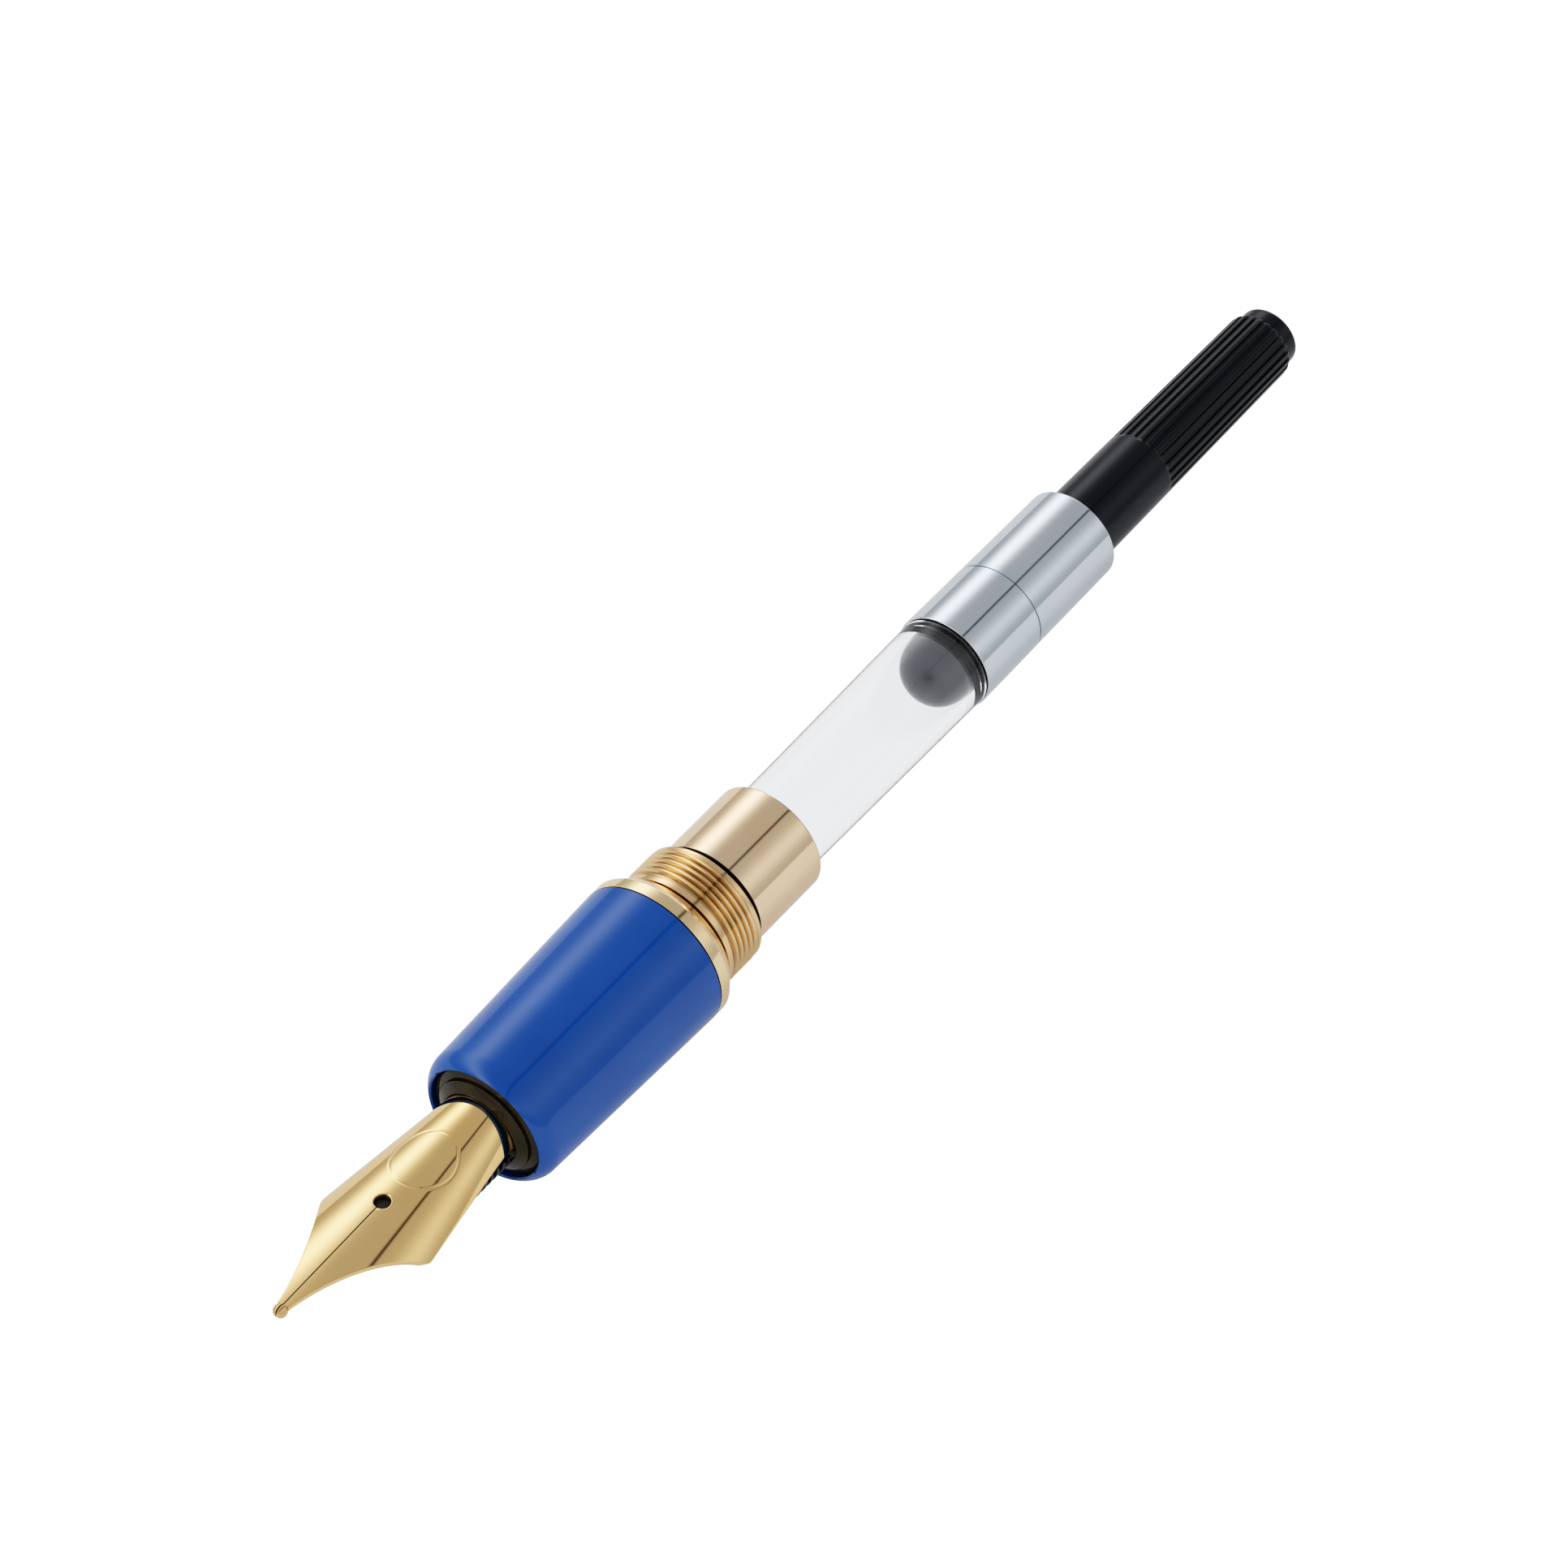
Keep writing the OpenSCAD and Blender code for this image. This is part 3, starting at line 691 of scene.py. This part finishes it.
def make_grip():
    """The grip's shell, with its rounded lip."""
    mouth_r = flange_r + 0.05
    crest_r = mouth_r + 0.13
    lip_centre_r = GRIP_FRONT_R - LIP_ROUND
    crest = math.acos((crest_r - lip_centre_r) / LIP_ROUND)
    lip_x = x_lip + LIP_ROUND * math.sin(crest)
    arc = [(lip_x - LIP_ROUND * math.sin(a), lip_centre_r + LIP_ROUND * math.cos(a), 0)
           for a in evenly(crest, 0, 24)]
    points = [(x_flange1 + FIT, LINER_R + FIT, 0), (x_flange1 + FIT, mouth_r, 0),
              (x_lip + 0.12, mouth_r, 0.06)] + arc
    points += [(lip_x, lip_centre_r + LIP_ROUND, 0), (x_grip1, grip_rear_r, 0.08),
               (x_grip1, LINER_R + FIT, 0)]
    lathe("grip_shell", points, grip_blue, "section")


def make_ring():
    """The ring, with a narrow dark gap between it and the grip."""
    gap, gap_depth = 0.08, 0.3
    lathe("trim_ring", [
        (x_grip1 + FIT, NECK_R + FIT, 0), (x_grip1 + FIT, ring_r - gap_depth, 0),
        (x_grip1 + gap, ring_r - gap_depth, 0), (x_grip1 + gap, ring_r, 0.04),
        (x_bevel, ring_r, 0.05), (x_ring1, RING_EDGE_R, 0.06), (x_ring1, SEAT_IN_R, 0.02),
        (x_ring1 - SEAT_RECESS, SEAT_IN_R, 0), (x_ring1 - SEAT_RECESS, NECK_R + FIT, 0)],
        trim_gold, "section")


def make_bushing():
    """The bushing's body with a true helical thread cut between its land and its rim."""
    root = thread_r - THREAD_DEPTH
    x_thread0 = -TURNS * PITCH / 2
    runout = 0.28
    bore = HOUSING_BODY_R + FIT
    socket = SOCKET_OUT_R + FIT
    land_r = thread_r - 0.09
    crest_r = thread_r - 0.015
    rim_r = thread_r - 0.05
    valley_r = root + 0.03
    x_start = x_land1 + 0.1
    x_stop = x_rim - 0.16
    columns = SEGMENTS
    rows = 16

    def radius(u, x):
        """Rounded crest and root; the cut fades in from the land and out to the rim."""
        wave = 0.5 - 0.5 * math.cos(math.tau * u)
        crest = crest_r - THREAD_DEPTH * (1 - wave ** 0.75)
        plain, run = (valley_r, x - x_start) if x < 0 else (rim_r, x_stop - x)
        return plain + (crest - plain) * min(1, max(0, run / runout))

    steps = int((x_stop - x_start) / PITCH * rows)
    verts, rings = [], []
    for x in evenly(x_start, x_stop, steps) + [x_stop]:
        rings.append(list(range(len(verts), len(verts) + columns)))
        for j in range(columns):
            turn = j / columns
            u = ((x - x_thread0) / PITCH - turn) % 1
            r = radius(u, x)
            verts.append((x, r * math.sin(math.tau * turn), r * math.cos(math.tau * turn)))
    front = rounded([(x_tail0, bore, 0), (x_tail0, TAIL_R, 0.1), (x_grip1, TAIL_R, 0), (x_grip1, NECK_R, 0),
                     (x_land0 - 0.1, NECK_R, 0.03), (x_land0, land_r, 0.04), (x_land1, land_r, 0.05),
                     (x_start - 0.02, valley_r, 0.02)])
    back = rounded([(x_stop + 0.01, rim_r, 0), (x_rim, rim_r, 0.06),
                    (x_rim, socket, 0.04), (x_socket - FIT, socket, 0), (x_socket - FIT, bore, 0)])
    before, after = [], []
    for outline, store in ((front, before), (back, after)):
        for x, r in outline:
            store.append(list(range(len(verts), len(verts) + columns)))
            verts += [(x, r * math.sin(math.tau * j / columns), r * math.cos(math.tau * j / columns))
                      for j in range(columns)]
    faces = bridge(before + rings + after, closed=True)
    finish_piece("thread_bushing", verts, faces, thread_gold, "section",
                 ["thread_bushing"], sharp=60)


def make_sleeve():
    """The sleeve, with a shallow groove at its root and a rounded mouth."""
    root_r = sleeve_r - SLEEVE_ROOT_DEPTH
    lathe("socket_sleeve", [
        (x_socket, SOCKET_BORE_R, 0), (x_socket, SOCKET_OUT_R, 0), (x_rim + FIT, SOCKET_OUT_R, 0),
        (x_rim + FIT, root_r, 0), (x_rim + SLEEVE_ROOT, root_r, 0.02),
        (x_rim + SLEEVE_ROOT + 0.1, sleeve_r, 0.08), (x_sleeve1, sleeve_r, SLEEVE_EDGE),
        (x_sleeve1, SOCKET_BORE_R, 0.08)],
        sleeve_gold, "section")


# ---------------------------------------------------------------- converter

BORE_R = 2.85
TUBE_FRONT_R = 3.45
SPIGOT_R = 3.15
TUBE_NECK_R = 3.2
KNOB_FRONT_R = 2.89
KNOB_REAR_R = 2.7
FERRULE_REAR_R = 3.69
FERRULE_IN_R = 3.52
JOURNAL_LEN = 1.2
KNOB_SMOOTH = 8.3
KNOB_BORE_R = 1.62


def make_tube():
    """The clear tube, from the neck that fits the nipple to the spigot in the ferrule."""
    x_spigot = x_ferrule0 - 0.05
    x_neck1 = x_mouth + 4.6
    slope = (tube_rear_r - TUBE_FRONT_R) / (x_spigot - x_sleeve1)
    neck_out_r = TUBE_FRONT_R - slope * (x_sleeve1 - x_neck1)
    hole = 0.8
    x_stopper = x_mouth + 3.8
    lathe("reservoir", [
        (x_mouth, NIPPLE_R + FIT, 0.05), (x_mouth, TUBE_NECK_R, 0.25), (x_neck1 - 0.3, TUBE_NECK_R, 0.1),
        (x_neck1, neck_out_r, 0.1), (x_spigot, tube_rear_r, 0.1), (x_spigot, SPIGOT_R, 0.02),
        (x_spigot1, SPIGOT_R, 0.05), (x_spigot1, BORE_R, 0.05), (x_neck1 + 0.8, BORE_R, 0.3),
        (x_neck1, hole, 0.05), (x_stopper, hole, 0.02), (x_stopper, NIPPLE_R + FIT, 0)],
        tube_clear, "converter")


def make_ferrule():
    """The ferrule's two parts, with the fine groove of the seam between them."""
    taper = (ferrule_front_r - FERRULE_REAR_R) / (x_ferrule1 - x_ferrule0)
    seam_r = ferrule_front_r - taper * (x_seam - x_ferrule0)
    lathe("ferrule_front", [
        (x_ferrule0, FERRULE_IN_R, 0.04), (x_ferrule0, ferrule_front_r, 0.1), (x_seam, seam_r, 0.045),
        (x_seam, FERRULE_IN_R, 0)],
        ferrule_chrome, "converter")
    in_r = FERRULE_IN_R - 0.07
    mouth_r = KNOB_FRONT_R + 0.07
    seam, seam_depth = 0.05, 0.13
    x_lip_in = x_journal + JOURNAL_LEN + 0.2
    lathe("ferrule_rear", [
        (x_seam_rear, in_r, 0), (x_seam_rear, seam_r - seam_depth, 0),
        (x_seam_rear + seam, seam_r - seam_depth, 0), (x_seam_rear + seam, seam_r - 0.01, 0.03),
        (x_ferrule1, FERRULE_REAR_R, 0.16),
        (x_ferrule1, mouth_r, 0.05), (x_lip_in, mouth_r, 0), (x_lip_in, in_r, 0)],
        ferrule_chrome, "converter")


def make_piston():
    """The head's long round nose, and the seal, whose lips press into the tube's wall."""
    x_dome = x_seal0 - FIT - 0.15
    dome_len = x_dome - x_dome_tip
    neck_r, stub_r, back_r = 2.0, 1.02, 2.6
    x_back = x_head1 - 0.4
    nose = [(x_dome - dome_len * math.cos(a), dome_r * math.sin(a), 0) for a in evenly(0, math.pi / 2, 40)]
    nose[0] = (x_dome_tip, 0, 0)
    points = nose + [(x_dome, dome_r, 0), (x_seal0 - FIT, dome_r, 0.05), (x_seal0 - FIT, neck_r, 0),
                     (x_back, neck_r, 0), (x_back, back_r, 0.1), (x_head1, back_r, 0.1),
                     (x_head1, stub_r, 0), (x_seal0 + 1, stub_r, 0), (x_seal0 + 1, 0, 0)]
    lathe("piston_head", points, dome_grey, "piston")
    lip, press = 0.75, 0.03
    lip_r, groove_r = seal_r + press, seal_r - 0.35
    lathe("piston_seal", [
        (x_seal0, neck_r + FIT, 0), (x_seal0, lip_r, 0.08), (x_seal0 + lip, lip_r, 0.05),
        (x_seal0 + lip + 0.1, groove_r, 0.05), (x_seal1 - lip - 0.1, groove_r, 0.05),
        (x_seal1 - lip, lip_r, 0.05), (x_seal1, lip_r, 0.08), (x_seal1, neck_r + FIT, 0)],
        seal_black, "piston")


def make_rod():
    """The screw rod: a coarse three-start thread on a round bar with two flats."""
    rod_r = high("piston_rod").z
    depth, lead, starts = 0.16, 2.75, 3
    x_plain = x_rod0 + 5.1
    x_thread1 = x_rod1 - 0.05
    runout = 0.4
    columns, rows = 72, 10
    stub_r = 1.0
    x_back = x_seal1 + 0.45
    verts, rings = [], []
    stations = [(x_rod0, stub_r), (x_back, stub_r), (x_back, rod_r - 0.05), (x_back + 0.05, rod_r)]
    steps = int((x_thread1 - x_plain) / (lead / starts) * rows)
    thread = evenly(x_plain, x_thread1, steps) + [x_thread1]
    for x, r in stations + [(x, None) for x in thread] + [(x_rod1, rod_r - 0.08)]:
        rings.append(list(range(len(verts), len(verts) + columns)))
        for j in range(columns):
            turn = j / columns
            here = r
            if r is None:
                wave = 0.5 - 0.5 * math.cos(math.tau * (((x - x_plain) / lead - turn) * starts))
                fade = min(1, (x - x_plain) / runout)
                here = rod_r - depth * fade * wave ** 1.5
            y = here * math.sin(math.tau * turn)
            limit = rod_half_flats if x > x_back - 0.01 or r is None else stub_r
            verts.append((x, max(-limit, min(limit, y)), here * math.cos(math.tau * turn)))
    faces = bridge(rings)
    faces += [list(reversed(rings[0])), list(rings[-1])]
    finish_piece("piston_rod", verts, faces, rod_white, "piston", ["piston_rod"], sharp=40)


def make_knob():
    """Smooth collar, then moulded ribs; a stepped bore inside."""
    ribs = 24
    rib_depth = 0.2
    flank = [(0.20, 0.0), (0.245, 0.06), (0.275, 0.3), (0.30, 0.8), (0.33, 0.97), (0.38, 1.0)]
    wave = [(0.0, 0.0), (0.1, 0.0)] + flank + [(0.5, 1.0)]
    wave += [(1 - share, depth) for share, depth in reversed(flank)] + [(0.9, 0.0)]
    x_collar = x_journal + JOURNAL_LEN
    x_ribs0 = x_ferrule1 + KNOB_SMOOTH
    x_bore = x_journal + 3.82
    journal_bore_r = 2.1
    chamfer, chamfer_fall = 0.35, 0.25
    crest_in = 0.015
    x_full = x_ribs0 + 0.06
    x_chamfer = x_ribs1 - chamfer

    def outer_r(x):
        return KNOB_FRONT_R + (KNOB_REAR_R - KNOB_FRONT_R) * (x - x_ferrule1) / (x_ribs1 - x_ferrule1)

    smooth = [(x_journal, journal_bore_r), (x_journal, journal_r - 0.1), (x_journal + 0.1, journal_r),
              (x_collar - 0.1, journal_r), (x_collar, journal_r - 0.1), (x_collar, KNOB_FRONT_R),
              (x_ferrule1, KNOB_FRONT_R), (x_ribs0 - 0.3, outer_r(x_ribs0 - 0.3)),
              (x_ribs0, outer_r(x_ribs0))]
    ribbed = [(x_ribs0 + 0.015, outer_r(x_ribs0) - 0.01, 0.5), (x_full, outer_r(x_ribs0) - crest_in, 1.0)]
    ribbed += [(x, outer_r(x) - crest_in, 1.0) for x in evenly(x_full, x_chamfer, 12)[1:] + [x_chamfer]]
    ribbed += [(x_ribs1 - chamfer * (1 - math.sin(math.pi / 2 * i / 5)),
                outer_r(x_ribs1) - crest_in - chamfer_fall * (1 - math.cos(math.pi / 2 * i / 5)),
                1.0 - 0.8 * (i / 5) ** 2) for i in range(1, 6)]
    inner = [(x_ribs1, KNOB_BORE_R), (x_bore, KNOB_BORE_R), (x_bore, journal_bore_r)]
    columns = ribs * len(wave)
    verts, rings = [], []
    for station in smooth + ribbed + inner:
        x, r = station[:2]
        cut = station[2] * rib_depth if len(station) > 2 else 0
        rings.append(list(range(len(verts), len(verts) + columns)))
        for i in range(ribs):
            for share, depth in wave:
                a = math.tau * (i + share) / ribs
                here = r - cut * depth
                verts.append((x, here * math.sin(a), here * math.cos(a)))
    faces = bridge(rings, closed=True)
    finish_piece("knob", verts, faces, knob_black, "knob", ["knob"], sharp=50)


def make_plug():
    """The knob's smooth, well rounded end, on a stem in the knob's bore."""
    x_stem, stem_r = x_ribs1 - 2.4, KNOB_BORE_R - FIT
    lathe("knob_end_plug", [
        (x_stem, 0, 0), (x_stem, stem_r, 0.1), (x_ribs1 + FIT, stem_r, 0), (x_ribs1 + FIT, plug_r, 0.05),
        (x_end, plug_r, 0.42), (x_end, 0, 0)],
        knob_black, "knob", steps=10)


make_nib()
make_tipping()
make_feed()
make_housing()
make_grip()
make_ring()
make_bushing()
make_sleeve()
make_tube()
make_ferrule()
make_piston()
make_rod()
make_knob()
make_plug()

for node, material in (("grip_liner", liner_brass), ("ferrule_core", core_grey),
                       ("rod_guide", guide_white), ("drive_nut", guide_white)):
    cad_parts[node].material_slots[0].material = material


# ---------------------------------------------------------------- floor, light and camera

WHITE = 2.6
BEHIND_GLASS = 1.55


def film_response(light):
    """How bright the picture shows a light: deep shadows and a long soft shoulder, reaching 1 at WHITE."""
    contrast, pivot = 1.5, 0.6
    raised = light ** contrast
    full = WHITE ** contrast
    return raised / (raised + pivot) * (full + pivot) / full


def set_film():
    """Standard view, with the film response as a tone curve."""
    view = bpy.context.scene.view_settings
    view.view_transform = "Standard"
    view.use_curve_mapping = True
    mapping = view.curve_mapping
    mapping.white_level = (WHITE, WHITE, WHITE)
    mapping.extend = "HORIZONTAL"
    curve = mapping.curves[3]
    stops = [0, 0.01, 0.03, 0.07, 0.13, 0.22, 0.35, 0.5, 0.7, 1.0, 1.4, 1.9, WHITE]
    for i, light in enumerate(stops):
        place = (light / WHITE, film_response(light))
        if i in (0, len(stops) - 1):
            curve.points[0 if i == 0 else -1].location = place
        else:
            curve.points.new(*place)
    mapping.update()


def shown_white(tree, lit):
    """Plain white to the camera, a little less straight through the clear tube, and lit everywhere else."""
    path = add_node(tree, "ShaderNodeLightPath")
    unscattered = add_node(tree, "ShaderNodeMath", operation="LESS_THAN")
    unscattered.inputs[1].default_value = 0.5
    tree.links.new(path.outputs["Diffuse Depth"], unscattered.inputs[0])
    straight = add_node(tree, "ShaderNodeMath", operation="MULTIPLY")
    tree.links.new(path.outputs["Is Transmission Ray"], straight.inputs[0])
    tree.links.new(unscattered.outputs[0], straight.inputs[1])
    kind = "ShaderNodeBackground" if isinstance(tree.id_data, bpy.types.World) else "ShaderNodeEmission"
    result = lit
    for ray, strength in ((straight.outputs[0], BEHIND_GLASS), (path.outputs["Is Camera Ray"], WHITE)):
        plain = add_node(tree, kind)
        plain.inputs["Strength"].default_value = strength
        plain.inputs["Color"].default_value = (1, 1, 1, 1)
        mix = add_node(tree, "ShaderNodeMixShader")
        tree.links.new(ray, mix.inputs["Fac"])
        tree.links.new(result, mix.inputs[1])
        tree.links.new(plain.outputs[0], mix.inputs[2])
        result = mix.outputs[0]
    return result


def make_world():
    """A white tent with long soft panels and one thin dark gap, by the angle round the pen from overhead."""
    panels = [(-50, 17, 1.8), (57, 17, 0.48)]
    base, darkest = 0.60, 0.02
    slit_angle, slit_width, slit_depth = 17.5, 2.3, 0.5
    world = bpy.data.worlds.new("studio")
    bpy.context.scene.world = world
    world.use_nodes = True
    tree = world.node_tree
    tree.nodes.clear()
    coords = add_node(tree, "ShaderNodeTexCoord")
    parts = add_node(tree, "ShaderNodeSeparateXYZ")
    tree.links.new(coords.outputs["Generated"], parts.inputs[0])

    def maths(operation, a, b=None, c=None):
        node = add_node(tree, "ShaderNodeMath", operation=operation)
        for i, value in enumerate((a, b, c)):
            if value is None:
                continue
            if isinstance(value, (int, float)):
                node.inputs[i].default_value = value
            else:
                tree.links.new(value, node.inputs[i])
        return node.outputs[0]

    across = maths("MULTIPLY", parts.outputs["Y"], -1)
    angle = maths("MULTIPLY", maths("ARCTAN2", across, parts.outputs["Z"]), 180 / math.pi)

    def hump(centre, width, height):
        off = maths("DIVIDE", maths("SUBTRACT", angle, centre), width)
        bell = maths("EXPONENT", maths("MULTIPLY", maths("MULTIPLY", off, off), -1))
        return maths("MULTIPLY", bell, height)

    total = base
    for centre, width, height in panels + [(slit_angle, slit_width, -slit_depth)]:
        total = maths("ADD", hump(centre, width, height), total)
    light = add_node(tree, "ShaderNodeBackground")
    light.inputs["Color"].default_value = (0.985, 1.0, 1.02, 1)
    tree.links.new(maths("MAXIMUM", total, darkest), light.inputs["Strength"])
    output = add_node(tree, "ShaderNodeOutputWorld")
    tree.links.new(shown_white(tree, light.outputs[0]), output.inputs["Surface"])


def make_floor():
    """A wide pale sheet that the grip lies on, and that isn't there from below."""
    reach, level = 2.5, low("grip_shell").z * MM - 0.0002
    mesh = bpy.data.meshes.new("floor")
    corners = [(-reach, -reach, level), (reach, -reach, level), (reach, reach, level), (-reach, reach, level)]
    mesh.from_pydata(corners, [], [(0, 1, 2, 3)])
    floor = bpy.data.objects.new("floor", mesh)
    bpy.context.scene.collection.objects.link(floor)
    material = bpy.data.materials.new("floor_white")
    material.use_nodes = True
    tree = material.node_tree
    tree.nodes.clear()
    paper = add_node(tree, "ShaderNodeBsdfDiffuse")
    paper.inputs["Color"].default_value = (0.85, 0.85, 0.86, 1)
    glow = add_node(tree, "ShaderNodeEmission")
    glow.inputs["Strength"].default_value = 0.25
    lit = add_node(tree, "ShaderNodeAddShader")
    tree.links.new(paper.outputs[0], lit.inputs[0])
    tree.links.new(glow.outputs[0], lit.inputs[1])
    side = add_node(tree, "ShaderNodeNewGeometry")
    clear = add_node(tree, "ShaderNodeBsdfTransparent")
    sheet = add_node(tree, "ShaderNodeMixShader")
    tree.links.new(side.outputs["Backfacing"], sheet.inputs["Fac"])
    tree.links.new(shown_white(tree, lit.outputs[0]), sheet.inputs[1])
    tree.links.new(clear.outputs[0], sheet.inputs[2])
    output = add_node(tree, "ShaderNodeOutputMaterial")
    tree.links.new(sheet.outputs[0], output.inputs["Surface"])
    mesh.materials.append(material)


def make_camera():
    """The photograph's view: a long lens, well above the pen and in front of its nib."""
    azimuth, elevation = math.radians(-53.4), math.radians(47.95)
    distance = 0.442
    aim = Vector((12.66, 0, 0)) * MM
    off_centre = 1.89 * MM
    back = Vector((math.sin(azimuth) * math.cos(elevation), -math.cos(azimuth) * math.cos(elevation),
                   math.sin(elevation)))
    turn = (-back).to_track_quat("-Z", "Y")
    right, up = turn @ Vector((1, 0, 0)), turn @ Vector((0, 1, 0))
    data = bpy.data.cameras.new("camera")
    data.lens = 149.07
    data.sensor_width = 36
    data.clip_start, data.clip_end = 0.01, 20
    camera = bpy.data.objects.new("camera", data)
    camera.rotation_mode = "QUATERNION"
    camera.rotation_quaternion = turn
    camera.location = aim + back * distance - (right - up).normalized() * off_centre
    bpy.context.scene.collection.objects.link(camera)
    bpy.context.scene.camera = camera


make_world()
make_floor()
make_camera()
set_film()
